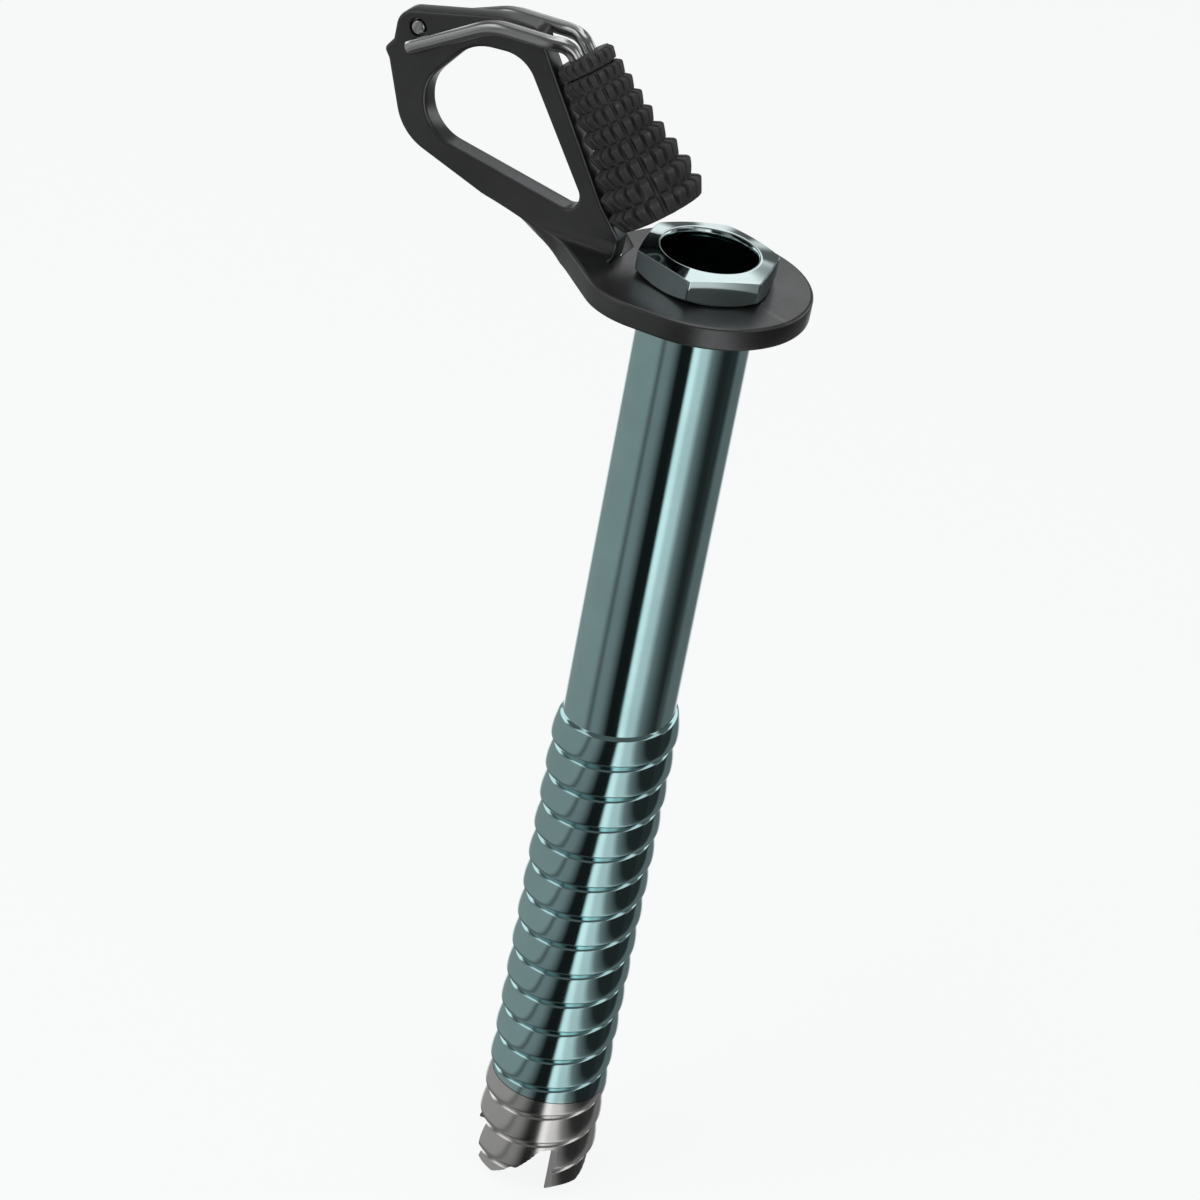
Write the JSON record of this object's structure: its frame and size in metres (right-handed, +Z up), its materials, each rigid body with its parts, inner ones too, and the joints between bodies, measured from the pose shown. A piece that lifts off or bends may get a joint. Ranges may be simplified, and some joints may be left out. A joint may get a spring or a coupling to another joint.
{
  "type": "ice climbing screw",
  "caption": "Tubular ice climbing screw with an outside thread, toothed cutting crown, hex head, folded clip-in hanger and a fold-out crank with a spinning knob.",
  "frame": {"origin": "on the tube's axis, in the plane of the hanger's ice-side face", "axes": "+Z up the tube's axis from the tip to the hex head; the hanger's ear stands parallel to XZ on the -X side, its front face towards -Y"},
  "size_m": [0.0697, 0.032, 0.1932],
  "materials": {
    "tube_metal": "polished dark teal anodising",
    "head_metal": "polished dark teal anodising",
    "tip_steel": "bare ground steel",
    "hanger_metal": "satin dark grey anodising",
    "wire_steel": "bright drawn steel",
    "knob_plastic": "matte black",
    "knob_rubber": "matte black, studded",
    "fastener_steel": "zinc plated"
  },
  "bodies": {
    "screw": {"screw_tube": "tube_metal", "cutting_crown": "tip_steel", "hex_head": "head_metal", "hanger": "hanger_metal"},
    "crank": {"crank_wire": "wire_steel", "knob_core": "knob_plastic", "knob_washer": "fastener_steel", "knob_screw": "fastener_steel"},
    "knob": {"knob_grip": "knob_rubber"}
  },
  "joints": [
    {"name": "crank_fold", "type": "hinge", "parent": "screw", "child": "crank", "pos_m": [-0.049, -0.00145, 0.0271], "axis": [0, -1, 0], "range_deg": [0, 139.9]},
    {"name": "knob_spin", "type": "hinge", "parent": "crank", "child": "knob", "pos_m": [-0.02375, -0.00145, 0.03073], "axis": [0.6441, 0, -0.7649], "continuous": true}
  ]
}
